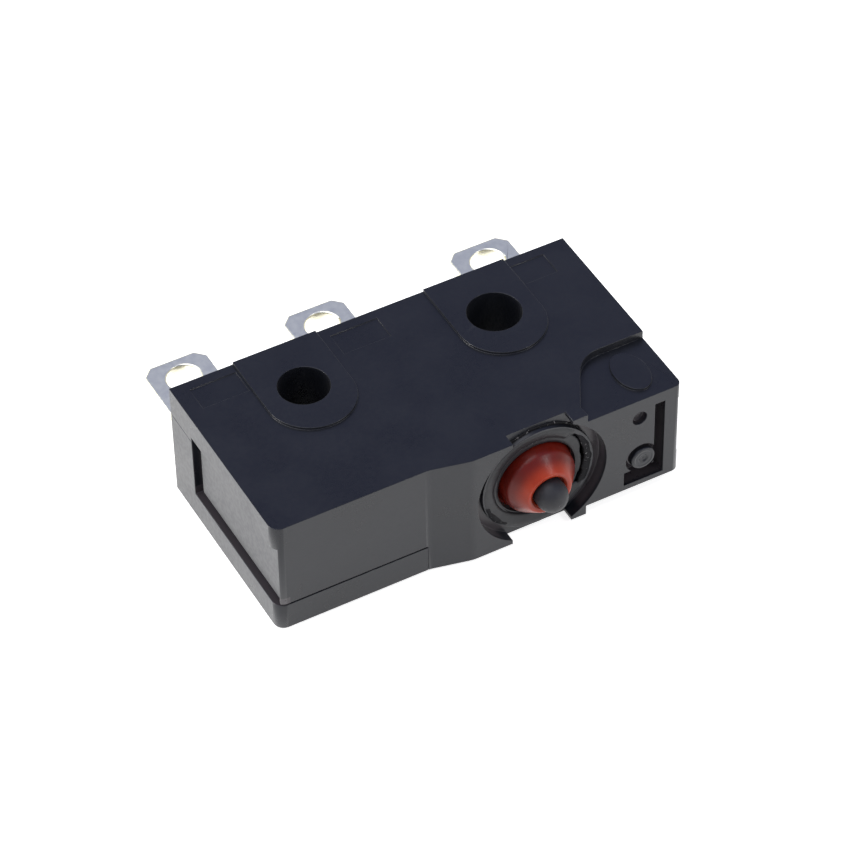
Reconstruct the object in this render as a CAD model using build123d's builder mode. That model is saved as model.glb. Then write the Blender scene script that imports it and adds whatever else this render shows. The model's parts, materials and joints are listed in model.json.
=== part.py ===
"""Sealed subminiature micro switch with a pin plunger and solder terminals, in millimetres.

The switch lies on one of its two large faces. X runs along the row of terminals, +Y points to the
terminals, the plunger points to -Y, and Z is up. The origin is on the axis of the left mounting
hole, in the plane of the lower mounting pads.
"""

import os
from math import cos, pi, radians, sin, tan

from build123d import *

os.makedirs("parts", exist_ok=True)

# Envelope of the moulded body
x_left = -5.15
x_right = 14.65
y_back = 2.85
y_front_left = -7.1
y_front = -7.55
z_pad_top = 6.4
z_top = 6.27
z_bottom = 0.13
z_mid = z_pad_top / 2

# Mounting holes and the raised pads round them
hole_pitch = 9.5
left_hole_radius = 1.175
right_hole_radius = 1.25
tube_radius = 1.95
pad_radius = 2.05
pad_arc_y = -0.65

# The front wall steps forward between these two stations
ramp_start_x = 2.27
ramp_end_x = 4.2
ramp_blend_radius = 1.6

# Case: lip, end walls, cavity
lip_z = 5.0
left_wall_inset = 0.2
right_wall_inset = 0.12
front_inset_z = 1.7
tongue_inset = 0.55
cavity_left = -4.05
cavity_right = 13.55
cavity_front = -5.95
cavity_roof = 5.05
front_corner_radius = 0.5
right_corner_radius = 0.35

# Base: floor plate, terminal block, seam
floor_z = 1.53
seam_gap = 0.07
seam_depth = 0.35
channel_front_y = -6.9
end_channel_z = 1.95
end_channel_y = 0.35
tube_clearance = 0.05
cradle_inset = 0.1
block_y = 0.81
block_z = 4.75
base_step_x = 2.2
base_step_y = -6.35

# Cut-back at the front right corner, on both large faces
recess_top_z = 5.87
recess_bottom_z = 0.63
recess_corner = (11.43, -4.2)
recess_foot = (9.85, -6.95)
recess_foot_lean = 0.1
recess_blend_radius = 1.6
oval_boss_centre = (13.03, -5.85)
oval_boss_radii = (0.8, 1.22)
oval_boss_height = 0.12

# Shallow sunk panels for marks, left bare, on the top in front of the terminals
panel_spans = ((-4.39, -2.14), (2.52, 4.85), (11.64, 13.33))
panel_front_y = 1.02
panel_back_y = 2.34
panel_depth = 0.06

# Plunger station: pocket, collar, seat and guide
plunger_x = 7.65
pocket_radius = 3.22
pocket_y = -6.9
notch_width = 2.95
collar_radius = 2.78
collar_y = -7.15
mouth_radius = 2.58
mouth_y = -6.95
seat_radius = 2.45
seat_y = -6.4
guide_radius = 0.8

# Plunger and boot
plunger_radius = 0.74
plunger_tip_y = -9.05
plunger_dome = 0.65
plunger_flange_radius = 1.2
plunger_flange_y = -5.93
plunger_flange_thickness = 0.25
plunger_foot_y = -5.42
foot_radius = 0.5
foot_dome = 0.12
boot_flange_y = -6.65
boot_flange_radius = 2.4
boot_root_radius = 1.82
boot_shoulder_radius = 1.7
boot_shoulder_y = -7.42
boot_shoulder_rounding = 0.35
boot_nose_radius = 1.02
boot_nose_rounding = 0.18
boot_end_y = -8.18
boot_rim_radius = 0.86
boot_rim_depth = 0.14
boot_wall = 0.3
boot_throat_radius = 0.9
groove_radius = 0.66
groove_width = 0.25
boot_grip_gap = 0.01

# Retainer ring on the boot's flange, with a dished face
retainer_radius = 2.43
retainer_crest_radius = 2.36
retainer_bore_radius = 1.88
retainer_edge_y = -7.02
retainer_crest_y = -7.08
retainer_lip_y = -6.88

# Front right details
slot_left_x = 13.3
slot_right_x = 13.8
slot_top_z = 5.25
slot_bottom_z = 0.92
slot_foot_x = 11.8
slot_foot_z = 1.7
slot_depth = 0.9
pin_x = 12.66
pin_z = 2.3
pin_socket_radius = 0.78
pin_radius = 0.62
pin_face_radius = 0.5
pin_dimple_radius = 0.25
pin_setback = 0.18
pin_step = 0.06
blind_hole_x = 12.52
blind_hole_z = 4.78
blind_hole_radius = 0.36
blind_hole_depth = 0.3

# Leads: flat stampings in one plane
lead_thickness = 0.5
lead_z = z_mid - lead_thickness / 2
tab_tip_y = 7.15
tab_width = 3.1
tab_chamfer = 0.45
tab_hole_radius = 0.8
tab_hole_y = 5.85
tab_shoulder_y = 3.3
neck_width = 1.6
nc_x = -3.1
no_x = 3.87
com_x = 12.45

# Snap mechanism
contact_x = -2.6
contact_width = 0.3
blade_y = -3.7
blade_thickness = 0.15
blade_height = 1.8
bar_thickness = 0.2
contact_gap = 0.45
pivot_x = 11.85
lever_y = -5.3
lever_thickness = 0.2
lever_height = 1.4
lever_end_x = 7.2

# Snap spring
wire_radius = 0.06
coil_radius = 0.26
coil_start_x = 3.0
coil_length = 6.6
coil_turns = 12
chords_per_turn = 8
tail_length = 0.55
blade_hook_x = 1.7
lever_hook_x = 10.55
hook_y = -3.87
hook_z = z_mid + coil_radius
hook_reach = 0.35
hook_hole_radius = 0.12

# Details of the leads, contacts and lever
seal_setback = 0.2
nc_leg_left = -3.95
nc_leg_right = -3.25
nc_foot_y = -4.9
no_arm_y = -2.7
no_arm_width = 0.55
com_arm_left = 11.8
com_arm_right = 13.2
com_arm_end_y = -5.75
notch_half_angle = 50
notch_clearance = 0.002
fixed_bar_depth = 0.25
bar_rounding = 0.1
moving_bar_length = 0.8
moving_bar_height = 0.3
contact_seat = 0.4
blade_tip_reach = 0.5
blade_neck_half_height = 0.6
web_length = 1.2
web_front = 0.7
window_height = 0.8
window_margin = 0.5
nose_length = 0.15
nose_half_height = 0.2
finger_half_width = 0.25
finger_thickness = 0.36

nc_face_y = blade_y - blade_thickness / 2 - bar_thickness
no_face_y = blade_y + blade_thickness / 2 + bar_thickness + contact_gap
blade_edges = (z_mid - blade_height / 2, z_mid + blade_height / 2)
nose_edges = (z_mid - nose_half_height, z_mid + nose_half_height)
hook_slack = hook_hole_radius - wire_radius

overrun = 1.0  # how far a cut runs past the surface that it opens
hole_stations = ((0, left_hole_radius), (hole_pitch, right_hole_radius))
groove_y = boot_end_y + boot_rim_depth
plunger_axis = Axis((plunger_x, 0, z_mid), (0, 1, 0))


def front_plane(y, x=0.0, z=0.0):
    """A plane across the plunger's direction: local x is X, local y is Z, and it faces -Y."""
    return Plane(origin=(x, y, z), x_dir=(1, 0, 0), z_dir=(0, -1, 0))


def box_between(low, high, mode=Mode.ADD):
    """A box in the open part, from its lowest to its highest corner."""
    size = [b - a for a, b in zip(low, high)]
    with Locations(low):
        Box(*size, align=(Align.MIN, Align.MIN, Align.MIN), mode=mode)


def draw_pads():
    """The two U-shaped mounting pads, in the open sketch: round in front, open at the back."""
    for x, _ in hole_stations:
        with Locations((x, pad_arc_y)):
            Circle(pad_radius)
            Rectangle(2 * pad_radius, y_back - pad_arc_y, align=(Align.CENTER, Align.MIN))


def draw_corner_recess():
    """The cut-back at the front right corner, in the open sketch."""
    with BuildLine() as outline:
        FilletPolyline(
            (x_right + overrun, recess_corner[1]),
            recess_corner,
            recess_foot,
            radius=recess_blend_radius,
        )
        Polyline(
            recess_foot,
            (recess_foot[0] + recess_foot_lean, y_front - overrun),
            (x_right + overrun, y_front - overrun),
            (x_right + overrun, recess_corner[1]),
        )
    make_face(outline.edges())


def draw_tab(x):
    """One solder tab with its eye and chamfered tip, in the open sketch."""
    with BuildLine() as outline:
        Polyline(
            (x - tab_width / 2, tab_shoulder_y),
            (x + tab_width / 2, tab_shoulder_y),
            (x + tab_width / 2, tab_tip_y - tab_chamfer),
            (x + tab_width / 2 - tab_chamfer, tab_tip_y),
            (x - tab_width / 2 + tab_chamfer, tab_tip_y),
            (x - tab_width / 2, tab_tip_y - tab_chamfer),
            close=True,
        )
    make_face(outline.edges())
    with Locations((x, tab_hole_y)):
        Circle(tab_hole_radius, mode=Mode.SUBTRACT)


def draw_strip(x_low, x_high, y_low, y_high, mode=Mode.ADD):
    """A rectangle in the open sketch, from its edges."""
    with Locations((x_low, y_low)):
        Rectangle(x_high - x_low, y_high - y_low, align=(Align.MIN, Align.MIN), mode=mode)


def round_nose(y, thickness):
    """The rounded end of a strip, in the open part: it turns in a notch of the common lead."""
    with Locations((pivot_x, y, z_mid)):
        Cylinder(thickness / 2, 2 * nose_half_height)


# Case: top plate, front wall, end walls and the tubes round the mounting holes
with BuildPart() as case:
    with BuildSketch(Plane.XY.offset(z_bottom)) as body:
        with BuildLine():
            Polyline(
                (x_left, y_back),
                (x_right, y_back),
                (x_right, y_front),
                (ramp_end_x, y_front),
                (ramp_start_x, y_front_left),
                (x_left, y_front_left),
                close=True,
            )
        make_face()
        for corner, radius in (
            ((x_left, y_front_left), front_corner_radius),
            ((x_right, y_front), right_corner_radius),
            ((ramp_start_x, y_front_left), ramp_blend_radius),
            ((ramp_end_x, y_front), ramp_blend_radius),
        ):
            fillet(body.vertices().sort_by_distance((*corner, 0))[:1], radius)
    extrude(amount=z_top - z_bottom)
    with BuildSketch(Plane.XY.offset(z_top)):
        draw_pads()
    extrude(amount=z_pad_top - z_top)
    # Room for the base's floor plate and terminal block
    box_between(
        (x_left - overrun, base_step_y, 0),
        (x_right + overrun, y_back + overrun, floor_z),
        Mode.SUBTRACT,
    )
    box_between(
        (x_left - overrun, y_front_left - overrun, 0),
        (base_step_x, base_step_y, floor_z),
        Mode.SUBTRACT,
    )
    box_between(
        (x_left - overrun, block_y, 0),
        (x_right + overrun, y_back + overrun, block_z),
        Mode.SUBTRACT,
    )
    # Cavity for the mechanism
    box_between(
        (cavity_left, cavity_front, floor_z),
        (cavity_right, block_y, cavity_roof),
        Mode.SUBTRACT,
    )
    # End walls stand back under the lip, and leave a channel above the base
    box_between(
        (x_left - overrun, y_front_left - overrun, floor_z),
        (x_left + left_wall_inset, block_y, lip_z),
        Mode.SUBTRACT,
    )
    box_between(
        (x_right - right_wall_inset, base_step_y, floor_z),
        (x_right + overrun, block_y, lip_z),
        Mode.SUBTRACT,
    )
    box_between(
        (x_right - right_wall_inset, y_front - overrun, front_inset_z),
        (x_right + overrun, base_step_y, lip_z),
        Mode.SUBTRACT,
    )
    for x_low, x_high, y_low in (
        (x_left - overrun, x_left + tongue_inset, channel_front_y),
        (x_right - tongue_inset, x_right + overrun, base_step_y),
    ):
        box_between((x_low, y_low, floor_z), (x_high, block_y, end_channel_z), Mode.SUBTRACT)
        box_between((x_low, end_channel_y, floor_z), (x_high, block_y, block_z), Mode.SUBTRACT)
    # Seam line along the front
    box_between(
        (x_left - overrun, y_front_left - overrun, floor_z),
        (base_step_x, y_front_left + seam_depth, floor_z + seam_gap),
        Mode.SUBTRACT,
    )
    # Tubes round the mounting holes
    with BuildSketch(Plane.XY.offset(floor_z)):
        with Locations((0, 0), (hole_pitch, 0)):
            Circle(tube_radius)
    extrude(amount=cavity_roof - floor_z)
    for x, radius in hole_stations:
        with BuildSketch(Plane.XY):
            with Locations((x, 0)):
                Circle(radius)
        extrude(amount=z_pad_top + overrun, mode=Mode.SUBTRACT)
    # Cut-back corner on both faces, with the oval boss on the upper one
    with BuildSketch(Plane.XY.offset(recess_top_z)):
        draw_corner_recess()
    extrude(amount=overrun, mode=Mode.SUBTRACT)
    with BuildSketch(Plane.XY.offset(recess_bottom_z)):
        draw_corner_recess()
    extrude(amount=-overrun, mode=Mode.SUBTRACT)
    with BuildSketch(Plane.XY.offset(recess_top_z)):
        with Locations(oval_boss_centre):
            Ellipse(*oval_boss_radii)
    extrude(amount=oval_boss_height)
    # Sunk panels
    for x_low, x_high in panel_spans:
        box_between(
            (x_low, panel_front_y, z_top - panel_depth),
            (x_high, panel_back_y, z_top + overrun),
            Mode.SUBTRACT,
        )
    # Plunger pocket, which opens through both large faces, with its collar, seat and guide
    with BuildSketch(front_plane(pocket_y, plunger_x, z_mid)):
        Circle(pocket_radius)
        Rectangle(notch_width, z_pad_top + 2 * overrun)
    extrude(amount=overrun, mode=Mode.SUBTRACT)
    with BuildSketch(front_plane(pocket_y, plunger_x, z_mid)):
        Circle(collar_radius)
    extrude(amount=pocket_y - collar_y)
    with BuildSketch(front_plane(seat_y, plunger_x, z_mid)):
        Circle(seat_radius)
    extrude(amount=overrun, mode=Mode.SUBTRACT)
    with BuildSketch(front_plane(cavity_front + overrun, plunger_x, z_mid)):
        Circle(guide_radius)
    extrude(amount=2 * overrun, mode=Mode.SUBTRACT)
    with BuildSketch(Plane.XY.offset(z_mid)):
        with BuildLine():
            Polyline(
                (plunger_x + seat_radius, mouth_y),
                (plunger_x + mouth_radius, collar_y),
                (plunger_x + seat_radius, collar_y),
                close=True,
            )
        make_face()
    revolve(axis=plunger_axis, mode=Mode.SUBTRACT)
    # L-shaped slot, pin and blind hole beside the plunger
    with BuildSketch(front_plane(y_front + slot_depth)):
        draw_strip(slot_left_x, slot_right_x, slot_bottom_z, slot_top_z)
        draw_strip(slot_foot_x, slot_right_x, slot_bottom_z, slot_foot_z)
        with Locations((pin_x, pin_z)):
            Circle(pin_socket_radius)
    extrude(amount=slot_depth + overrun, mode=Mode.SUBTRACT)
    with BuildSketch(front_plane(y_front + blind_hole_depth, blind_hole_x, blind_hole_z)):
        Circle(blind_hole_radius)
    extrude(amount=blind_hole_depth + overrun, mode=Mode.SUBTRACT)
    with BuildSketch(front_plane(y_front + slot_depth, pin_x, pin_z)):
        Circle(pin_radius)
    extrude(amount=slot_depth - pin_setback - pin_step)
    with BuildSketch(front_plane(y_front + pin_setback + pin_step, pin_x, pin_z)):
        Circle(pin_face_radius)
        Circle(pin_dimple_radius, mode=Mode.SUBTRACT)
    extrude(amount=pin_step)

# Base: floor plate, terminal block and cradles under the leads
with BuildPart() as base:
    with BuildSketch(Plane.XY.offset(z_bottom)) as floor_plan:
        with BuildLine():
            Polyline(
                (x_left, y_back),
                (x_right, y_back),
                (x_right, base_step_y),
                (base_step_x, base_step_y),
                (base_step_x, y_front_left),
                (x_left, y_front_left),
                close=True,
            )
        make_face()
        fillet(
            floor_plan.vertices().sort_by_distance((x_left, y_front_left, 0))[:1],
            front_corner_radius,
        )
    extrude(amount=floor_z - z_bottom)
    box_between((x_left, block_y, z_bottom), (x_right, y_back, block_z))
    with BuildSketch(Plane.XY):
        draw_pads()
    extrude(amount=z_bottom)
    with BuildSketch(Plane.XY.offset(floor_z)):
        with Locations((0, 0), (hole_pitch, 0)):
            Circle(tube_radius + tube_clearance)
    extrude(amount=block_z, mode=Mode.SUBTRACT)
    for x, radius in hole_stations:
        with BuildSketch(Plane.XY):
            with Locations((x, 0)):
                Circle(radius)
        extrude(amount=z_pad_top, mode=Mode.SUBTRACT)
    for x in (nc_x, no_x, com_x):
        box_between(
            (x - neck_width / 2, block_y - overrun, lead_z),
            (x + neck_width / 2, y_back + overrun, lead_z + lead_thickness),
            Mode.SUBTRACT,
        )
    with BuildSketch(Plane.XY.offset(recess_bottom_z)):
        draw_corner_recess()
    extrude(amount=-overrun, mode=Mode.SUBTRACT)
    # Cradles that carry the leads inside
    for x_low, x_high, y_low in (
        (nc_leg_left, nc_leg_right, nc_foot_y),
        (no_x - neck_width / 2, no_x + neck_width / 2, no_arm_y),
        (com_arm_left, com_arm_right, com_arm_end_y),
    ):
        box_between(
            (x_low + cradle_inset, y_low + cradle_inset, floor_z),
            (x_high - cradle_inset, block_y, lead_z),
        )

# Resin beads in the two end channels, set back from the outside
seal_outlines = {}
for end, outer_x, inner_x, y_low in (
    ("left", x_left + left_wall_inset + seal_setback, x_left + tongue_inset, channel_front_y),
    ("right", x_right - right_wall_inset - seal_setback, x_right - tongue_inset, base_step_y),
):
    with BuildPart() as seal:
        x_low, x_high = sorted((outer_x, inner_x))
        box_between((x_low, y_low, floor_z), (x_high, block_y, end_channel_z))
        box_between((x_low, end_channel_y, floor_z), (x_high, block_y, block_z))
    seal_outlines[end] = seal

# Leads: solder tab outside, neck through the terminal block, and arms inside
with BuildPart() as nc_terminal:
    with BuildSketch(Plane.XY.offset(lead_z)):
        draw_tab(nc_x)
        draw_strip(nc_x - neck_width / 2, nc_x + neck_width / 2, block_y, tab_shoulder_y)
        draw_strip(nc_leg_left, nc_leg_right, nc_foot_y, block_y)
        draw_strip(nc_leg_left, contact_x + contact_seat, nc_foot_y, nc_face_y - fixed_bar_depth)
    extrude(amount=lead_thickness)

with BuildPart() as no_terminal:
    with BuildSketch(Plane.XY.offset(lead_z)):
        draw_tab(no_x)
        draw_strip(no_x - neck_width / 2, no_x + neck_width / 2, no_arm_y, tab_shoulder_y)
        draw_strip(contact_x - contact_seat, no_x, no_arm_y, no_arm_y + no_arm_width)
    extrude(amount=lead_thickness)

with BuildPart() as com_terminal:
    with BuildSketch(Plane.XY.offset(lead_z)):
        draw_tab(com_x)
        draw_strip(com_x - neck_width / 2, com_x + neck_width / 2, block_y, tab_shoulder_y)
        draw_strip(com_arm_left, com_arm_right, com_arm_end_y, block_y)
        for y, thickness in ((blade_y, blade_thickness), (lever_y, lever_thickness)):
            apex_x = pivot_x + (thickness / 2 + notch_clearance) / sin(radians(notch_half_angle))
            mouth = (apex_x - com_arm_left) * tan(radians(notch_half_angle))
            with BuildLine() as notch:
                Polyline(
                    (com_arm_left, y - mouth),
                    (apex_x, y),
                    (com_arm_left, y + mouth),
                    close=True,
                )
            make_face(notch.edges(), mode=Mode.SUBTRACT)
    extrude(amount=lead_thickness)

# Fixed crossbar contacts on the edges of the leads
with BuildPart() as nc_contact:
    with BuildSketch(Plane.XY.offset(lead_z)) as bar:
        draw_strip(
            contact_x - contact_width / 2,
            contact_x + contact_width / 2,
            nc_face_y - fixed_bar_depth,
            nc_face_y,
        )
        fillet(bar.vertices().group_by(Axis.Y)[-1], bar_rounding)
    extrude(amount=lead_thickness)

with BuildPart() as no_contact:
    with BuildSketch(Plane.XY.offset(lead_z)) as bar:
        draw_strip(
            contact_x - contact_width / 2,
            contact_x + contact_width / 2,
            no_face_y,
            no_arm_y,
        )
        fillet(bar.vertices().group_by(Axis.Y)[0], bar_rounding)
    extrude(amount=lead_thickness)

# Moving blade: two rails round a window, a narrow contact end and a nose for the pivot notch
with BuildPart() as moving_blade:
    with BuildSketch(front_plane(blade_y + blade_thickness / 2)):
        draw_strip(blade_hook_x - web_front, pivot_x - nose_length, *blade_edges)
        draw_strip(
            contact_x - blade_tip_reach,
            blade_hook_x,
            z_mid - blade_neck_half_height,
            z_mid + blade_neck_half_height,
        )
        draw_strip(pivot_x - nose_length, pivot_x, *nose_edges)
        draw_strip(
            blade_hook_x - web_front + web_length,
            pivot_x - window_margin,
            z_mid - window_height / 2,
            z_mid + window_height / 2,
            mode=Mode.SUBTRACT,
        )
        with Locations((blade_hook_x - hook_slack, z_mid)):
            Circle(hook_hole_radius, mode=Mode.SUBTRACT)
    extrude(amount=blade_thickness)
    round_nose(blade_y, blade_thickness)

# Moving crossbars, at right angles to the fixed ones
moving_bars = {}
for side, y_plane, direction in (
    ("nc_side", blade_y - blade_thickness / 2, 1),
    ("no_side", blade_y + blade_thickness / 2, -1),
):
    with BuildPart() as moving_bar:
        with BuildSketch(front_plane(y_plane)):
            with Locations((contact_x, z_mid)):
                SlotOverall(moving_bar_length, moving_bar_height)
        extrude(amount=direction * bar_thickness)
    moving_bars[side] = moving_bar

# Operating lever: a strip under the plunger, with a finger that carries the spring
with BuildPart() as operating_lever:
    with BuildSketch(front_plane(lever_y + lever_thickness / 2)):
        draw_strip(
            lever_end_x,
            pivot_x - nose_length,
            z_mid - lever_height / 2,
            z_mid + lever_height / 2,
        )
        draw_strip(pivot_x - nose_length, pivot_x, *nose_edges)
    extrude(amount=lever_thickness)
    round_nose(lever_y, lever_thickness)
    with BuildSketch(Plane.XY.offset(z_mid - finger_thickness / 2)):
        draw_strip(
            lever_hook_x - finger_half_width,
            lever_hook_x + finger_half_width,
            lever_y,
            hook_y + finger_half_width,
        )
        with Locations((lever_hook_x + hook_slack, hook_y)):
            Circle(hook_hole_radius, mode=Mode.SUBTRACT)
    extrude(amount=finger_thickness)

# Snap spring: an open coil with a slanted tail and a hook at each end, drawn in short chords
coil_points = []
for step in range(coil_turns * chords_per_turn + 1):
    angle = 2 * pi * step / chords_per_turn
    coil_points.append(
        (
            coil_start_x + coil_length * step / (coil_turns * chords_per_turn),
            hook_y - coil_radius * sin(angle),
            z_mid + coil_radius * cos(angle),
        )
    )
with BuildPart() as snap_spring:
    with BuildLine() as wire_path:
        Polyline(
            (blade_hook_x, hook_y + hook_reach, z_mid),
            (blade_hook_x, hook_y, z_mid),
            (coil_start_x - tail_length, hook_y, z_mid),
            *coil_points,
            (lever_hook_x, hook_y, hook_z),
            (lever_hook_x, hook_y, hook_z - hook_reach),
        )
    with BuildSketch(Plane(origin=wire_path.line @ 0, z_dir=wire_path.line % 0)):
        RegularPolygon(wire_radius, side_count=6)
    sweep(path=wire_path.line, transition=Transition.RIGHT)

# Plunger: a domed pin with a groove for the boot, a stop flange and a rounded foot
with BuildPart() as plunger:
    with BuildSketch(Plane.XY.offset(z_mid)):
        with BuildLine():
            tip = (plunger_x, plunger_tip_y)
            dome_edge = (plunger_x + plunger_radius, plunger_tip_y + plunger_dome)
            foot = (plunger_x, plunger_foot_y)
            foot_edge = (plunger_x + foot_radius, plunger_foot_y - foot_dome)
            flange_back_y = plunger_flange_y + plunger_flange_thickness
            TangentArc(tip, dome_edge, tangent=(1, 0))
            Polyline(
                dome_edge,
                (plunger_x + plunger_radius, groove_y),
                (plunger_x + groove_radius, groove_y),
                (plunger_x + groove_radius, groove_y + groove_width),
                (plunger_x + plunger_radius, groove_y + groove_width),
                (plunger_x + plunger_radius, plunger_flange_y),
                (plunger_x + plunger_flange_radius, plunger_flange_y),
                (plunger_x + plunger_flange_radius, flange_back_y),
                (plunger_x + foot_radius, flange_back_y),
                foot_edge,
            )
            TangentArc(foot, foot_edge, tangent=(1, 0))
            Line(foot, tip)
        make_face()
    revolve(axis=plunger_axis)

# Rubber boot: clamped flange, cone with rounded ends, and a lip in the plunger's groove
with BuildPart() as rubber_boot:
    with BuildSketch(Plane.XY.offset(z_mid)) as boot_profile:
        with BuildLine():
            Polyline(
                (plunger_x + boot_flange_radius, seat_y),
                (plunger_x + boot_flange_radius, boot_flange_y),
                (plunger_x + boot_root_radius, boot_flange_y),
                (plunger_x + boot_shoulder_radius, boot_shoulder_y),
                (plunger_x + boot_nose_radius, boot_end_y),
                (plunger_x + boot_rim_radius, boot_end_y),
                (plunger_x + boot_rim_radius, groove_y),
                (plunger_x + groove_radius + boot_grip_gap, groove_y),
                (plunger_x + groove_radius + boot_grip_gap, groove_y + groove_width),
                (plunger_x + boot_throat_radius, groove_y + groove_width),
                (plunger_x + boot_shoulder_radius - boot_wall, boot_shoulder_y + boot_wall / 2),
                (plunger_x + boot_root_radius - boot_wall, boot_flange_y),
                (plunger_x + boot_root_radius - boot_wall, seat_y),
                close=True,
            )
        make_face()
        for radius, y, rounding in (
            (boot_shoulder_radius, boot_shoulder_y, boot_shoulder_rounding),
            (boot_nose_radius, boot_end_y, boot_nose_rounding),
        ):
            corner = boot_profile.vertices().sort_by_distance((plunger_x + radius, y, z_mid))[:1]
            fillet(corner, rounding)
    revolve(axis=plunger_axis)

# Retainer: a ring with a dished face, pressed on the boot's flange
with BuildPart() as boot_retainer:
    with BuildSketch(Plane.XY.offset(z_mid)):
        with BuildLine():
            Polyline(
                (plunger_x + retainer_bore_radius, boot_flange_y),
                (plunger_x + retainer_radius, boot_flange_y),
                (plunger_x + retainer_radius, retainer_edge_y),
                (plunger_x + retainer_crest_radius, retainer_crest_y),
                (plunger_x + retainer_bore_radius, retainer_lip_y),
                close=True,
            )
        make_face()
    revolve(axis=plunger_axis)

pieces = {
    "case": case,
    "base": base,
    "seam_seal_left": seal_outlines["left"],
    "seam_seal_right": seal_outlines["right"],
    "nc_terminal": nc_terminal,
    "no_terminal": no_terminal,
    "com_terminal": com_terminal,
    "nc_contact": nc_contact,
    "no_contact": no_contact,
    "moving_blade": moving_blade,
    "moving_contact_nc_side": moving_bars["nc_side"],
    "moving_contact_no_side": moving_bars["no_side"],
    "operating_lever": operating_lever,
    "snap_spring": snap_spring,
    "plunger": plunger,
    "rubber_boot": rubber_boot,
    "boot_retainer": boot_retainer,
}
for name, piece in pieces.items():
    piece.part.label = name
    export_step(piece.part, f"parts/{name}.step")
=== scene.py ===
"""Looks of the sealed micro switch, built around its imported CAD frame.

Everything is in metres and in the CAD frame: X along the row of terminals, +Y towards them, the
plunger points to -Y, and Z is up. Textures are laid out in millimetres.
"""

import json
import math

import bpy
from mathutils import Matrix, Vector


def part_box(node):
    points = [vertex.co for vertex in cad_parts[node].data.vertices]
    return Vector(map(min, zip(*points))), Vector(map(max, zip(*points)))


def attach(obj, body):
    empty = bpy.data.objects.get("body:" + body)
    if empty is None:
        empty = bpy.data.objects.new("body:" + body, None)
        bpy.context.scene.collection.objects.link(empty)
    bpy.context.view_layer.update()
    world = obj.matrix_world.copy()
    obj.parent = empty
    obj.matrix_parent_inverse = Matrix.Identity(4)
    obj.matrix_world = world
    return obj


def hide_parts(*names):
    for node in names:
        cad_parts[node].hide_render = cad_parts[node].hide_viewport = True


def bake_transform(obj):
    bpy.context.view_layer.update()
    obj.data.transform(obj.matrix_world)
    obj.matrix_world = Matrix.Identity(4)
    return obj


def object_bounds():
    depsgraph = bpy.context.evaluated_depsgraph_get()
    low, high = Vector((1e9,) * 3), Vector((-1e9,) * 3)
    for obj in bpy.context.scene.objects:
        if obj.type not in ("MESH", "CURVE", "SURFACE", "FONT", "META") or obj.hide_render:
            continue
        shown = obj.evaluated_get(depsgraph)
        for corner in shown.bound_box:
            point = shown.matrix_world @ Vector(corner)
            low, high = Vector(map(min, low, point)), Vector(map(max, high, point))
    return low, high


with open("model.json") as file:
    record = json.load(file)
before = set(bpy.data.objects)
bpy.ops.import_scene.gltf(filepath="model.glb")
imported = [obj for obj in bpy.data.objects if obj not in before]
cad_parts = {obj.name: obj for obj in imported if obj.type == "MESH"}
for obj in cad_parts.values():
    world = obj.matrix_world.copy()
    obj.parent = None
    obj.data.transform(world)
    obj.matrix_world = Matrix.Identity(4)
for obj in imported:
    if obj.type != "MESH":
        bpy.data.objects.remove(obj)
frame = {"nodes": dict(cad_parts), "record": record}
cad_low, cad_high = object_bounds()
nodes = frame["nodes"]
mounts = {m["name"]: Vector(m["pos_m"]) for m in frame["record"]["mounts"]}

MM = 0.001

# Places read from the frame, in millimetres
plunger_low, plunger_high = (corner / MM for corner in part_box("plunger"))
boot_low, boot_high = (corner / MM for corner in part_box("rubber_boot"))
retainer_low, retainer_high = (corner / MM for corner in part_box("boot_retainer"))
case_low, case_high = (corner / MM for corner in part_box("case"))
plunger_x = (plunger_low.x + plunger_high.x) / 2
mid_z = (plunger_low.z + plunger_high.z) / 2
plunger_axis = (plunger_x, mid_z)
plunger_tip_y = plunger_low.y
boot_end_y = boot_low.y
retainer_crest_y = retainer_low.y
eyes = [mounts["nc_eye"], mounts["no_eye"], mounts["com_eye"]]

# Places of the housing that the frame's boxes don't give, in millimetres
PAD_HEIGHT = 0.13
CUT_BACK_DEPTH = 0.4  # of the front right corner, which gets no painted recess light
LEFT_WALL_X = -4.95
RIGHT_WALL_X = 14.53
FRONT_LEFT_Y, FRONT_RIGHT_Y = -7.1, -7.55
FRONT_RAMP_X = (2.2, 4.2)  # where the front steps from one depth to the other
BACK_Y = 2.85
CHANNEL_END_X = -4.5
CHANNEL_Z = (1.5, 2.0)

# Places of the boot's station that the frame's boxes don't give, in millimetres
BOOT_FIXED_Y = -6.7
COLLAR_FACE_Y = -7.15
POCKET_FLOOR_Y = -6.9
MOUTH_DROP = 0.07  # the retainer's mouth is off centre towards the lower face
TIP_LEAN = 0.05  # the plunger leans this much in its guide, towards the lower face
AXIS_HOLE = 0.004  # a turned piece's outline ends this far from its axis
DOWEL_CENTRE = (12.74, 2.25)
DOWEL_FACE_Y = -7.62

# Camera: a long lens that looks down at the plunger's side from the front left
CAMERA_TARGET = Vector((4.918, -1.882, 3.2)) * MM
CAMERA_AZIMUTH = -27.92
CAMERA_ELEVATION = 44.77
CAMERA_ROLL = -1.13
CAMERA_DISTANCE = 174.5 * MM
CAMERA_LENS = 167.5

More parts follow.
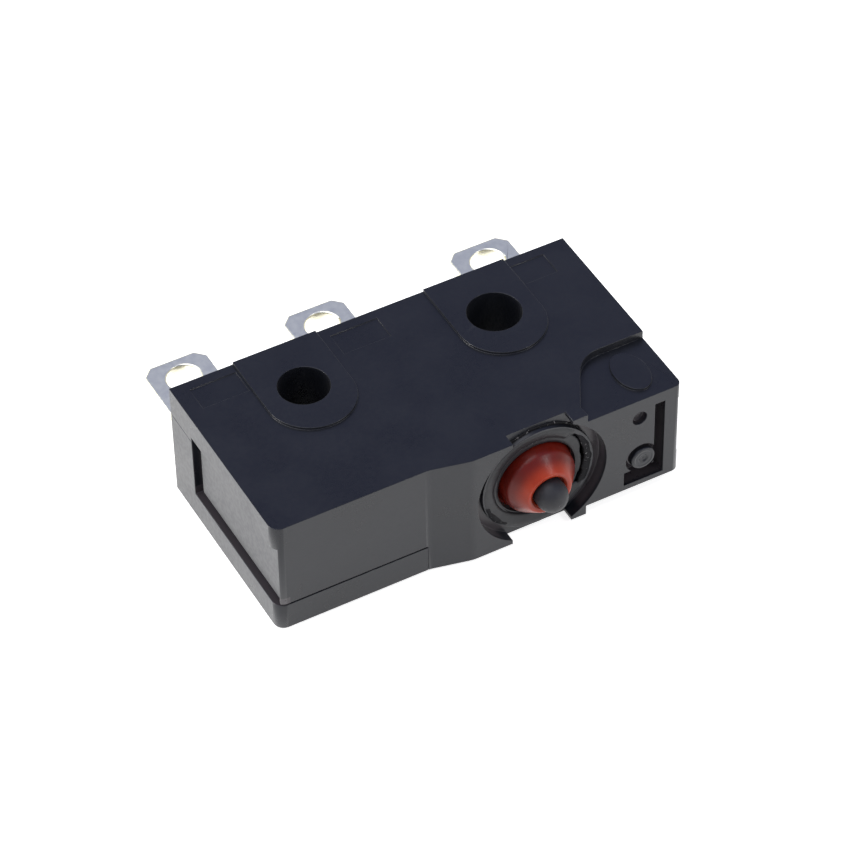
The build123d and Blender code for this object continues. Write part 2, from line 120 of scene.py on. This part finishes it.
# Light: the strength of the floor's own white, the colours of the surround, and the lamps
FLOOR_GLOW = 0.75
CEILING_COLOR = (0.34, 0.38, 0.65, 1)
SURROUND_COLOR = (0.34, 0.34, 0.36, 1)
WHITE = (1, 1, 1, 1)
FLOOR_GAP = 0.02 * MM  # keeps the floor off the lower pads
LAMP_DISTANCE = 0.4  # metres from the object's middle
LAMPS = (  # name, direction from the object, size in metres, watts, tint
    ("side", (-0.95, 0.3, 0.03), 0.12, 1.6, (1.0, 0.98, 0.96)),
    ("front", (0.5, -0.8, 0.02), 0.2, 0.5, (1.0, 0.98, 0.95)),
    ("top", (-0.38, 0.08, 0.92), 0.4, 1.35, (1.0, 1.0, 1.0)),
    ("glint", (0.45, -0.6, 0.66), 0.04, 0.2, (1.0, 1.0, 1.0)),
)


# ---------------------------------------------------------------- node helpers
class Nodes:
    """Adds nodes to a tree. A socket takes a value or the output that is linked to it."""

    def __init__(self, tree):
        self.tree = tree

    def add(self, kind, settings=(), **sockets):
        node = self.tree.nodes.new(kind)
        for key, value in dict(settings).items():
            setattr(node, key, value)
        for socket, value in sockets.items():
            self.set(node, socket.replace("_", " "), value)
        return node

    def set(self, node, socket, value):
        target = node.inputs[socket]
        if isinstance(value, bpy.types.NodeSocket):
            self.link(value, target)
        else:
            target.default_value = value

    def link(self, source, target):
        self.tree.links.new(source, target)

    def ramp(self, value, low, high, to_low=0.0, to_high=1.0):
        """`value` mapped smoothly from low..high to to_low..to_high."""
        node = self.add("ShaderNodeMapRange", {"interpolation_type": "SMOOTHSTEP"}, Value=value)
        for socket, number in (
            ("From Min", low),
            ("From Max", high),
            ("To Min", to_low),
            ("To Max", to_high),
        ):
            node.inputs[socket].default_value = number
        return node.outputs[0]

    def math(self, operation, a, b=0.0):
        node = self.add("ShaderNodeMath", {"operation": operation})
        self.set(node, 0, a)
        self.set(node, 1, b)
        return node.outputs[0]

    def fold(self, operation, values):
        """The values joined by one operation, such as their MINIMUM."""
        joined = values[0]
        for value in values[1:]:
            joined = self.math(operation, joined, value)
        return joined

    def distance(self, x, centre_x, y, centre_y):
        """How far a place is from a centre, on two of its coordinates."""
        dx = self.math("POWER", self.math("ABSOLUTE", self.math("SUBTRACT", x, centre_x)), 2.0)
        dy = self.math("POWER", self.math("ABSOLUTE", self.math("SUBTRACT", y, centre_y)), 2.0)
        return self.math("SQRT", self.math("ADD", dx, dy))

    def mix(self, factor, a, b):
        """Colour a where the factor is 0, and b where it is 1."""
        node = self.add("ShaderNodeMix", {"data_type": "RGBA"})
        self.set(node, "Factor", factor)
        self.set(node, 6, a)
        self.set(node, 7, b)
        return node.outputs[2]

    def shown_rays(self):
        """1 for the rays that show the background: the camera's, and through gloss and glass."""
        path = self.add("ShaderNodeLightPath").outputs
        rays = ("Is Camera Ray", "Is Glossy Ray", "Is Transmission Ray")
        return self.fold("MAXIMUM", [path[ray] for ray in rays])


class Shader(Nodes):
    """A node material with a Principled shader; millimetre coordinates come from the object."""

    def __init__(self, name, **sockets):
        self.material = bpy.data.materials.new(name)
        self.material.use_nodes = True
        super().__init__(self.material.node_tree)
        self.bsdf = self.tree.nodes["Principled BSDF"]
        for socket, value in sockets.items():
            self.bsdf.inputs[socket.replace("_", " ")].default_value = value
        coordinates = self.add("ShaderNodeTexCoord")
        scale = self.add("ShaderNodeMapping", Scale=(1 / MM,) * 3)
        self.link(coordinates.outputs["Object"], scale.inputs["Vector"])
        self.mm = scale.outputs["Vector"]

    def place(self):
        """The X, Y and Z of a place on the object, in millimetres."""
        outputs = self.add("ShaderNodeSeparateXYZ", Vector=self.mm).outputs
        return [outputs[axis] for axis in "XYZ"]

    def noise(self, scale, detail=3.0, roughness=0.5, stretch=(1, 1, 1)):
        """Noise with `scale` features a millimetre, between 0 and 1."""
        vector = self.add("ShaderNodeMapping", Vector=self.mm, Scale=stretch).outputs[0]
        node = self.add(
            "ShaderNodeTexNoise", Vector=vector, Scale=scale, Detail=detail, Roughness=roughness
        )
        return node.outputs["Fac"]

    def spread(self, noise, to_low=0.0, to_high=1.0):
        """A noise's middle range, where most of it lies, mapped to to_low..to_high."""
        return self.ramp(noise, 0.3, 0.7, to_low, to_high)

    def bump(self, layers):
        """Bump from (height 0 to 1, depth in millimetres) pairs, one on top of another."""
        normal = None
        for height, depth in layers:
            node = self.add("ShaderNodeBump", Height=height, Distance=depth * MM, Strength=1.0)
            if normal is not None:
                self.link(normal, node.inputs["Normal"])
            normal = node.outputs["Normal"]
        self.link(normal, self.bsdf.inputs["Normal"])

    def color(self, value):
        self.link(value, self.bsdf.inputs["Base Color"])

    def roughness(self, value):
        self.link(value, self.bsdf.inputs["Roughness"])


def linear(red, green, blue):
    """A display colour, 0 to 255, as linear light."""
    channels = [c / 255 for c in (red, green, blue)]
    return tuple(
        c / 12.92 if c <= 0.04045 else ((c + 0.055) / 1.055) ** 2.4 for c in channels
    ) + (1.0,)


# ---------------------------------------------------------------- materials
def painted_recess_light(s):
    """1 in the housing's slots, pockets and bores, where a lighter colour is painted in as light
    that fills them, 0 elsewhere.

    The through holes, and the collar with what it holds, get no painted light.
    """
    x, y, z = s.place()
    front_y = s.ramp(x, *FRONT_RAMP_X, FRONT_LEFT_Y, FRONT_RIGHT_Y)
    recess_depths = (
        s.math("SUBTRACT", y, front_y),
        s.math("SUBTRACT", case_high.z - PAD_HEIGHT - CUT_BACK_DEPTH, z),
        s.math("SUBTRACT", z, PAD_HEIGHT + CUT_BACK_DEPTH),
        s.math("SUBTRACT", x, LEFT_WALL_X),
        s.math("SUBTRACT", RIGHT_WALL_X, x),
        s.math("SUBTRACT", BACK_Y, y),
    )
    in_left_channel = (
        s.math("SUBTRACT", x, case_low.x),
        s.math("SUBTRACT", CHANNEL_END_X, x),
        s.math("SUBTRACT", z, CHANNEL_Z[0]),
        s.math("SUBTRACT", CHANNEL_Z[1], z),
    )
    share = s.math(
        "MAXIMUM",
        s.ramp(s.fold("MINIMUM", recess_depths), 0.03, 0.3),
        s.ramp(s.fold("MINIMUM", in_left_channel), 0.01, 0.03),
    )
    left_hole, right_hole = mounts["left_hole"] / MM, mounts["right_hole"] / MM
    # the axis of each round place, on two coordinates, and the radius that it reaches
    for axis_x, cross, axis_cross, reach in (
        (plunger_x, z, mid_z, 2.8),
        (left_hole.x, y, left_hole.y, 1.35),
        (right_hole.x, y, right_hole.y, 1.35),
    ):
        off_axis = s.distance(x, axis_x, cross, axis_cross)
        share = s.math("MULTIPLY", share, s.ramp(off_axis, reach, reach + 0.1))
    return share


def housing_plastic(name, shade=1.0, dullness=0.26):
    """Black moulded plastic: spark-eroded grain, faint flow clouds and rubbed sheen, with a lighter
    colour painted into its recesses as light.
    """
    s = Shader(name, IOR=1.395, Sheen_Weight=0.04, Sheen_Roughness=0.35)
    clouds = s.noise(0.35, 4.0)
    grain = s.noise(5.0, 2.0, 0.5)
    dark = linear(18 * shade, 20 * shade, 26 * shade)
    light = linear(23 * shade, 25 * shade, 31 * shade)
    skin = s.mix(s.spread(clouds), dark, light)
    # painted light: the slots, pockets and bores get a lighter grey, as if light filled them
    s.color(s.mix(painted_recess_light(s), skin, linear(58, 54, 58)))
    wear = s.spread(clouds, 0.0, 0.05)
    s.roughness(s.math("ADD", wear, s.spread(grain, dullness, dullness + 0.07)))
    s.bump([(grain, 0.002)])
    return s.material


def rubber(name):
    """Orange-red silicone rubber: faintly translucent and dusted, with painted light and shade:
    paler towards the nose and darker at the root.
    """
    s = Shader(
        name,
        IOR=1.34,
        Subsurface_Weight=0.2,
        Subsurface_Radius=(1.0, 0.25, 0.1),
        Subsurface_Scale=0.3 * MM,
    )
    clouds = s.noise(1.2, 3.0)
    dust = s.noise(14.0, 4.0, 0.65)
    _, y, _ = s.place()
    # painted light and shade: the colour runs from a darker root to a paler nose, as light falls on
    # the boot
    painted_light_to_nose = s.ramp(y, boot_end_y + 0.02, boot_end_y + 0.6, 1.0, 0.0)
    root = s.mix(s.spread(clouds), linear(88, 16, 8), linear(100, 21, 10))
    nose = s.mix(s.spread(clouds), linear(148, 46, 22), linear(162, 54, 28))
    s.color(s.mix(painted_light_to_nose, root, nose))
    s.roughness(s.ramp(dust, 0.35, 0.7, 0.28, 0.42))
    s.bump([(clouds, 0.012), (dust, 0.003)])
    return s.material


def terminal_metal(name):
    """Plated copper alloy strip: cool silver with tumbling marks, yellower on the cut eyes."""
    s = Shader(name, Metallic=1.0, Specular_IOR_Level=0.5)
    tumble = s.noise(3.5, 5.0, 0.65)
    lines = s.noise(5.0, 3.0, 0.6, (1, 9, 1))
    plated = s.mix(s.spread(tumble), linear(230, 228, 204), linear(237, 235, 212))
    x, y, _ = s.place()
    off_eyes = [s.distance(x, eye.x / MM, y, eye.y / MM) for eye in eyes]
    cut = s.ramp(s.fold("MINIMUM", off_eyes), 0.805, 0.83, 1.0, 0.0)
    s.color(s.mix(cut, plated, linear(244, 240, 218)))
    s.roughness(s.spread(tumble, 0.28, 0.36))
    s.bump([(tumble, 0.0012), (lines, 0.001)])
    return s.material


def plunger_plastic(name):
    """Dark grey glass-filled plastic with a faint green-blue cast."""
    s = Shader(name, IOR=1.45)
    grain = s.noise(8.0, 4.0, 0.6)
    s.color(s.mix(s.spread(grain), linear(20, 20, 24), linear(29, 29, 33)))
    s.roughness(s.spread(grain, 0.52, 0.64))
    s.bump([(grain, 0.004)])
    return s.material


def inner_metal(name, low, high, roughness):
    """A metal of the sealed mechanism, rolled lengthways."""
    s = Shader(name, Metallic=1.0)
    lines = s.noise(6.0, 4.0, 0.6, (0.3, 6, 6))
    s.color(s.mix(s.spread(lines), linear(*low), linear(*high)))
    s.roughness(s.spread(lines, roughness, roughness + 0.12))
    s.bump([(lines, 0.002)])
    return s.material


def seal_resin(name):
    """Black potting resin: glossy, with a wavy skin."""
    s = Shader(name, IOR=1.5)
    waves = s.noise(2.0, 2.0)
    s.color(s.mix(waves, linear(28, 27, 30), linear(40, 38, 42)))
    s.roughness(s.spread(waves, 0.2, 0.32))
    s.bump([(waves, 0.02)])
    return s.material


def painted_shade_fill(name):
    """Matt black fill with light chips in it, for pieces that put painted shade into gaps."""
    s = Shader(name, Roughness=0.7, Specular_IOR_Level=0.15)
    chips = s.ramp(s.noise(7.0, 2.0, 0.5), 0.64, 0.7)
    s.color(s.mix(chips, linear(14, 14, 17), linear(105, 104, 106)))
    s.bump([(chips, 0.03)])
    return s.material


materials = {
    "housing_plastic": housing_plastic("moulded_black"),
    "retainer_plastic": housing_plastic("moulded_retainer", 0.75, 0.42),
    "seal_resin": seal_resin("potting_resin"),
    "boot_rubber": rubber("red_silicone"),
    "plunger_plastic": plunger_plastic("moulded_grey"),
    "terminal_metal": terminal_metal("plated_strip"),
    "contact_alloy": inner_metal("contact_alloy", (205, 185, 140), (228, 208, 160), 0.2),
    "spring_bronze": inner_metal("spring_bronze", (190, 150, 105), (212, 172, 125), 0.28),
    "lever_steel": inner_metal("spring_steel", (150, 150, 154), (178, 178, 182), 0.3),
}
slot_of = {part["node"]: part["material_slot"] for part in frame["record"]["subparts"]}
for name, node in nodes.items():
    node.data.materials.clear()
    node.data.materials.append(materials[slot_of[name]])


# ---------------------------------------------------------------- shapes
def soften(name, width, segments=2):
    """Rounds the sharp edges of a CAD node with modifiers. Its mesh stays as packed."""
    node = nodes[name]
    node.modifiers.new("join", "WELD").merge_threshold = 0.001 * MM
    flat = node.modifiers.new("flat", "DECIMATE")
    flat.decimate_type = "DISSOLVE"
    flat.angle_limit = math.radians(0.5)
    bevel = node.modifiers.new("edges", "BEVEL")
    bevel.width = width * MM
    bevel.segments = segments
    bevel.limit_method = "ANGLE"
    bevel.angle_limit = math.radians(32)
    bevel.use_clamp_overlap = False
    node.modifiers.new("shading", "WEIGHTED_NORMAL").keep_sharp = False


def make_piece(name, vertices, faces, body, slot, material=None):
    """A smooth mesh piece from millimetre vertices. It rides on `body` where one is given."""
    mesh = bpy.data.meshes.new(name)
    mesh.from_pydata([Vector(v) * MM for v in vertices], [], faces)
    mesh.polygons.foreach_set("use_smooth", [True] * len(mesh.polygons))
    mesh.materials.append(material or materials[slot])
    piece = bpy.data.objects.new(name, mesh)
    bpy.context.scene.collection.objects.link(piece)
    if body:
        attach(piece, body)
    return piece


def rounded(corners, steps=8):
    """An outline from (radius, y, rounding) corners, with an arc at each rounded corner."""
    outline = []
    for i, (radius, y, rounding) in enumerate(corners):
        here = Vector((radius, y))
        if not rounding:
            outline.append(here)
            continue
        before = (Vector(corners[i - 1][:2]) - here).normalized()
        after = (Vector(corners[(i + 1) % len(corners)][:2]) - here).normalized()
        half = math.acos(max(-1, min(1, before.dot(after)))) / 2
        reach = rounding / math.tan(half)
        centre = here + (before + after).normalized() * rounding / math.sin(half)
        start = here + before * reach - centre
        sweep = (here + after * reach - centre).angle_signed(start)
        for step in range(steps + 1):
            angle = sweep * step / steps
            turned = Vector(
                (
                    start.x * math.cos(angle) - start.y * math.sin(angle),
                    start.x * math.sin(angle) + start.y * math.cos(angle),
                )
            )
            outline.append(centre + turned)
    return outline


def divided(outline, longest):
    """The closed outline with points added, so that no side is longer than `longest`."""
    points = []
    for i, a in enumerate(outline):
        b = outline[(i + 1) % len(outline)]
        parts = max(1, math.ceil((b - a).length / longest))
        points += [a.lerp(b, k / parts) for k in range(parts)]
    return points


def loft(sections, closed=True):
    """Vertices and faces of a skin over sections, which meet in a ring or end in two caps."""
    rows, count = len(sections[0]), len(sections)
    vertices = [corner for section in sections for corner in section]
    faces = []
    for turn in range(count if closed else count - 1):
        a, b = turn * rows, ((turn + 1) % count) * rows
        for row in range(rows):
            up = (row + 1) % rows
            faces.append((a + row, a + up, b + up, b + row))
    if not closed:
        faces.append(tuple(range(rows - 1, -1, -1)))
        faces.append(tuple(range((count - 1) * rows, count * rows)))
    return vertices, faces


def turned_about(centre, radius, y, angle):
    """A place at a radius and an angle round an axis along Y through the centre (x, z)."""
    return centre[0] + radius * math.cos(angle), y, centre[1] + radius * math.sin(angle)


def circle(steps):
    """Angles of a whole turn."""
    return [2 * math.pi * step / steps for step in range(steps)]


def quarter(steps):
    """Angles from 0 to a quarter turn."""
    return [math.pi / 2 * step / steps for step in range(steps + 1)]


def clamp(value):
    """The value held between 0 and 1."""
    return max(0, min(1, value))


def lathe(outline, warp=None, turns=144, centre=None):
    """Vertices and faces of a closed outline of (radius, y) turned about an axis along Y.

    Without a centre the axis is the plunger's, which sags outside the housing.
    """
    sections = []
    for angle in circle(turns):
        section = []
        for point in outline:
            radius, y = point if warp is None else warp(point[0], point[1], angle)
            sagged = (plunger_x, mid_z - TIP_LEAN * max(0, BOOT_FIXED_Y - y))
            section.append(turned_about(centre or sagged, radius, y, angle))
        sections.append(section)
    return loft(sections)


def ripple(angle, seed, harmonics=(3, 5, 8, 13)):
    """A smooth uneven wave round a circle, about -1 to 1."""
    return sum(math.sin(n * angle + seed * n * 1.7) / (1 + i) for i, n in enumerate(harmonics)) / 2


def angle_window(angle, centre, half_width, edge=10):
    """1 within `half_width` degrees of `centre`, falling smoothly to 0 over `edge` degrees."""
    off = abs((math.degrees(angle) - centre + 180) % 360 - 180)
    t = clamp((half_width + edge - off) / edge)
    return t * t * (3 - 2 * t)


def make_boot():
    """Silicone boot: a thin dome that is clamped at its root and grips the plunger at its nose."""
    outline = rounded(
        [
            (2.3, boot_high.y, 0.05),
            (2.3, boot_high.y - 0.24, 0.05),
            (1.83, boot_high.y - 0.27, 0.12),
            (1.71, -7.42, 0.42),
            (1.06, boot_end_y - 0.03, 0.14),
            (0.9, boot_end_y + 0.02, 0.08),
            (0.79, boot_end_y + 0.14, 0.05),
            (0.77, boot_end_y + 0.26, 0.03),
            (0.68, boot_end_y + 0.28, 0),
            (0.68, boot_end_y + 0.4, 0),
            (0.92, boot_end_y + 0.46, 0.05),
            (1.42, -7.26, 0.3),
            (1.53, boot_high.y - 0.26, 0.1),
            (1.53, boot_high.y, 0),
        ]
    )

    def warp(radius, y, angle):
        swell = 0.012 * ripple(angle, 2.0, (2, 3, 5)) * clamp((POCKET_FLOOR_Y - y) / 0.6)
        return radius + swell * (radius > 1.0), y

    boot = make_piece("silicone_boot", *lathe(divided(outline, 0.05), warp), None, "boot_rubber")
    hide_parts("rubber_boot")
    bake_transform(boot)


def make_plunger():
    """Plunger: domed tip, groove for the boot, stop flange and rounded foot, all edges softened."""
    tip, groove = plunger_tip_y, boot_end_y + 0.27
    dome = 0.72
    outline = [Vector((0.74 * math.sin(t), tip + dome - dome * math.cos(t))) for t in quarter(16)]
    outline[0].x = AXIS_HOLE
    outline += rounded(
        [
            (0.74, groove, 0.03),
            (0.66, groove + 0.01, 0.02),
            (0.66, groove + 0.14, 0.02),
            (0.74, groove + 0.15, 0.03),
            (0.74, -5.93, 0.04),
            (1.2, -5.93, 0.04),
            (1.2, -5.68, 0.04),
            (0.5, -5.68, 0.04),
            (0.5, plunger_high.y - 0.12, 0.05),
            (0.3, plunger_high.y - 0.02, 0.1),
            (AXIS_HOLE, plunger_high.y, 0),
        ],
        steps=4,
    )
    turned = lathe(divided(outline, 0.08), turns=96)
    plunger = make_piece("plunger_pin", *turned, "plunger", "plunger_plastic")
    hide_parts("plunger")


def make_retainer():
    """Retainer ring with a dished face, an uneven mouth and an edge cut back on one side."""
    crest = retainer_crest_y
    outline = rounded(
        [
            (1.93, retainer_high.y, 0.02),
            (2.42, retainer_high.y, 0.03),
            (2.42, crest + 0.03, 0.05),
            (2.33, crest, 0.06),
            (2.05, crest + 0.02, 0.1),
            (1.93, crest + 0.07, 0.04),
        ]
    )

    def warp(radius, y, angle):
        mouth = clamp((2.3 - radius) / 0.4)
        edge = clamp((radius - 2.05) / 0.25)
        drop = MOUTH_DROP * math.cos(angle - math.radians(-95))
        ragged = 1 + 0.2 * ripple(angle, 3.0, (11, 19, 31))
        cut_back = 0.2 * angle_window(angle, -12, 22, 26) * ragged
        return radius + mouth * drop - edge * cut_back, y

    turned = lathe(divided(outline, 0.05), warp)
    ring = make_piece("retainer_ring", *turned, "housing", "retainer_plastic")
    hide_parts("boot_retainer")


def make_staked_rim():
    """The collar's rim, melted down over the retainer's edge, and drawn back beside the gap."""

    def section(angle):
        share = angle_window(angle, 6, 34, 12)
        face = COLLAR_FACE_Y - 0.012 - 0.01 * ripple(angle, 4.0, (5, 9, 14, 23))
        flow = 0.025 * ripple(angle, 1.0, (4, 7, 11))
        lip = 2.66 + 0.035 * ripple(angle, 1.0, (11, 17, 29, 43))
        melted = (
            (2.72, face + 0.03),
            (2.67, face),
            (2.5, face + 0.01),
            (2.3 + flow, face + 0.05),
            (2.05 + flow, retainer_crest_y + 0.035),
            (2.1, retainer_crest_y + 0.1),
            (2.64, face + 0.16),
            (2.72, face + 0.12),
        )
        drawn_back = (
            (2.76, face + 0.06),
            (2.73, face + 0.03),
            (2.7, face + 0.03),
            (lip, face + 0.04),
            (lip - 0.01, face + 0.07),
            (lip, face + 0.1),
            (2.7, face + 0.16),
            (2.74, face + 0.12),
        )
        corners = [Vector(m).lerp(Vector(d), share) for m, d in zip(melted, drawn_back)]
        return [turned_about(plunger_axis, radius, y, angle) for radius, y in corners]

    rim = loft([section(angle) for angle in circle(240)])
    make_piece("staked_rim", *rim, "housing", "housing_plastic", materials["retainer_plastic"])


def make_painted_shade():
    """Painted shade: dark pieces in the gap beside the retainer, at the lower left of the rim, and
    behind the collar, where there is only shade.
    """
    material = painted_shade_fill("painted_shade_fill")
    # name, middle angle, half width, inner radius, its rise at the top, outer radius, level
    # each piece is a dark sheet that paints shade into a gap or groove
    for name, centre, half_width, low, rise, high, level in (
        ("painted_shade_gap", 4, 44, 2.3, 0.24, 2.69, COLLAR_FACE_Y - 0.02),
        ("painted_shade_patch", -147, 30, 2.5, 0, 2.76, COLLAR_FACE_Y - 0.03),
        ("painted_shade_groove", 88, 56, 2.7, 0, 2.93, POCKET_FLOOR_Y - 0.06),
    ):
        sections = []
        for degrees in range(centre - half_width, centre + half_width + 1):
            angle = math.radians(degrees)
            share = angle_window(angle, centre, half_width - 16, 14)
            inner = low + rise * max(0, math.sin(angle))
            inner += 0.05 * ripple(angle, 2.0, (13, 19, 31))
            outer = high + 0.04 * ripple(angle, 5.0, (15, 23, 37))
            face = level - 0.015 * ripple(angle, 3.0, (11, 21, 33))
            middle = Vector(((inner + outer) / 2, face + 0.06))
            corners = [
                middle.lerp(Vector(corner), 0.02 + 0.98 * share)
                for corner in (
                    (outer, face + 0.05),
                    (outer - 0.03, face + 0.01),
                    (middle.x, face),
                    (inner + 0.03, face + 0.015),
                    (inner, face + 0.05),
                    (inner, face + 0.2),
                    (outer, face + 0.14),
                )
            ]
            sections.append([turned_about(plunger_axis, r, y, angle) for r, y in corners])
        make_piece(name, *loft(sections, closed=False), "housing", "seal_resin", material)


def make_dowel_head():
    """Head of the moulded dowel in its socket at the front right, with a ring and a dimple."""
    face = DOWEL_FACE_Y
    outline = rounded(
        [
            (AXIS_HOLE, face + 0.1, 0),
            (0.17, face + 0.08, 0.04),
            (0.25, face + 0.02, 0.04),
            (0.4, face + 0.02, 0.04),
            (0.45, face, 0.03),
            (0.58, face + 0.01, 0.08),
            (0.61, face + 0.3, 0.03),
            (0.61, face + 0.75, 0),
            (AXIS_HOLE, face + 0.75, 0),
        ],
        steps=4,
    )

    def warp(radius, y, angle):
        return radius * (1 + 0.02 * ripple(angle, 0.5, (2, 3, 5))), y

    turned = lathe(divided(outline, 0.06), warp, 72, DOWEL_CENTRE)
    make_piece("dowel_head", *turned, "housing", "housing_plastic")


soften("case", 0.025)
soften("base", 0.03)
for terminal in ("nc_terminal", "no_terminal", "com_terminal"):
    soften(terminal, 0.1, 4)
soften("operating_lever", 0.03)
for contact in ("nc_contact", "no_contact", "moving_contact_nc_side", "moving_contact_no_side"):
    soften(contact, 0.03)
soften("moving_blade", 0.012)
make_boot()
make_plunger()
make_retainer()
make_staked_rim()
make_painted_shade()
make_dowel_head()


# ---------------------------------------------------------------- set and light
def make_floor():
    """A plain pale floor that shows white to the camera and keeps the object's shadow."""
    size = 3.0
    mesh = bpy.data.meshes.new("floor")
    corners = [(-size, -size, 0), (size, -size, 0), (size, size, 0), (-size, size, 0)]
    mesh.from_pydata(corners, [], [(0, 1, 2, 3)])
    floor = bpy.data.objects.new("floor", mesh)
    bpy.context.scene.collection.objects.link(floor)
    floor.location.z = cad_low.z - FLOOR_GAP
    s = Shader("floor", Roughness=0.9, Specular_IOR_Level=0.0)
    s.bsdf.inputs["Base Color"].default_value = (0.9, 0.9, 0.9, 1)
    by_camera = s.add("ShaderNodeLightPath").outputs["Is Camera Ray"]
    strength = s.add("ShaderNodeMapRange", Value=by_camera)
    strength.inputs["To Min"].default_value = 1.0
    strength.inputs["To Max"].default_value = FLOOR_GLOW
    glow = s.add("ShaderNodeEmission", Color=WHITE, Strength=strength.outputs[0])
    lit_and_glowing = s.add("ShaderNodeAddShader")
    s.set(lit_and_glowing, 0, s.bsdf.outputs[0])
    s.set(lit_and_glowing, 1, glow.outputs[0])
    chosen = s.add("ShaderNodeMixShader")
    s.set(chosen, 0, s.shown_rays())
    s.set(chosen, 1, s.bsdf.outputs[0])
    s.set(chosen, 2, lit_and_glowing.outputs[0])
    s.link(chosen.outputs[0], s.tree.nodes["Material Output"].inputs["Surface"])
    mesh.materials.append(s.material)


def make_world():
    """A dim surround that lights softly. The camera and gloss see it white at the horizon."""
    world = bpy.data.worlds.new("studio")
    bpy.context.scene.world = world
    world.use_nodes = True
    sky = Nodes(world.node_tree)
    direction = sky.add("ShaderNodeTexCoord").outputs["Generated"]
    height = sky.add("ShaderNodeSeparateXYZ", Vector=direction).outputs["Z"]
    shown = sky.mix(sky.ramp(height, 0.1, 0.6), WHITE, CEILING_COLOR)
    chosen = sky.mix(sky.shown_rays(), SURROUND_COLOR, shown)
    sky.link(chosen, sky.tree.nodes["Background"].inputs["Color"])


def make_lamp(name, direction, size, power, tint):
    """A square soft light that faces the object from a direction."""
    data = bpy.data.lights.new(name, "AREA")
    data.shape = "SQUARE"
    data.size = size
    data.energy = power
    data.color = tint
    lamp = bpy.data.objects.new(name, data)
    bpy.context.scene.collection.objects.link(lamp)
    towards = Vector(direction).normalized()
    lamp.location = (cad_low + cad_high) / 2 + towards * LAMP_DISTANCE
    lamp.rotation_mode = "QUATERNION"
    lamp.rotation_quaternion = (-towards).to_track_quat("-Z", "Y")


def make_camera():
    """The photo's camera, as it was fitted, rolled about its own line of sight."""
    data = bpy.data.cameras.new("camera")
    data.lens = CAMERA_LENS
    data.sensor_width = 36
    data.clip_start = 0.01
    data.clip_end = 10
    camera = bpy.data.objects.new("camera", data)
    bpy.context.scene.collection.objects.link(camera)
    azimuth, elevation = math.radians(CAMERA_AZIMUTH), math.radians(CAMERA_ELEVATION)
    back = Vector(
        (
            math.sin(azimuth) * math.cos(elevation),
            -math.cos(azimuth) * math.cos(elevation),
            math.sin(elevation),
        )
    )
    camera.location = CAMERA_TARGET + back * CAMERA_DISTANCE
    camera.rotation_mode = "QUATERNION"
    level = (-back).to_track_quat("-Z", "Y")
    roll = Matrix.Rotation(math.radians(CAMERA_ROLL), 3, back).to_quaternion()
    camera.rotation_quaternion = roll @ level
    bpy.context.scene.camera = camera


make_floor()
make_world()
for lamp_settings in LAMPS:
    make_lamp(*lamp_settings)
make_camera()
bpy.context.scene.view_settings.view_transform = "Standard"
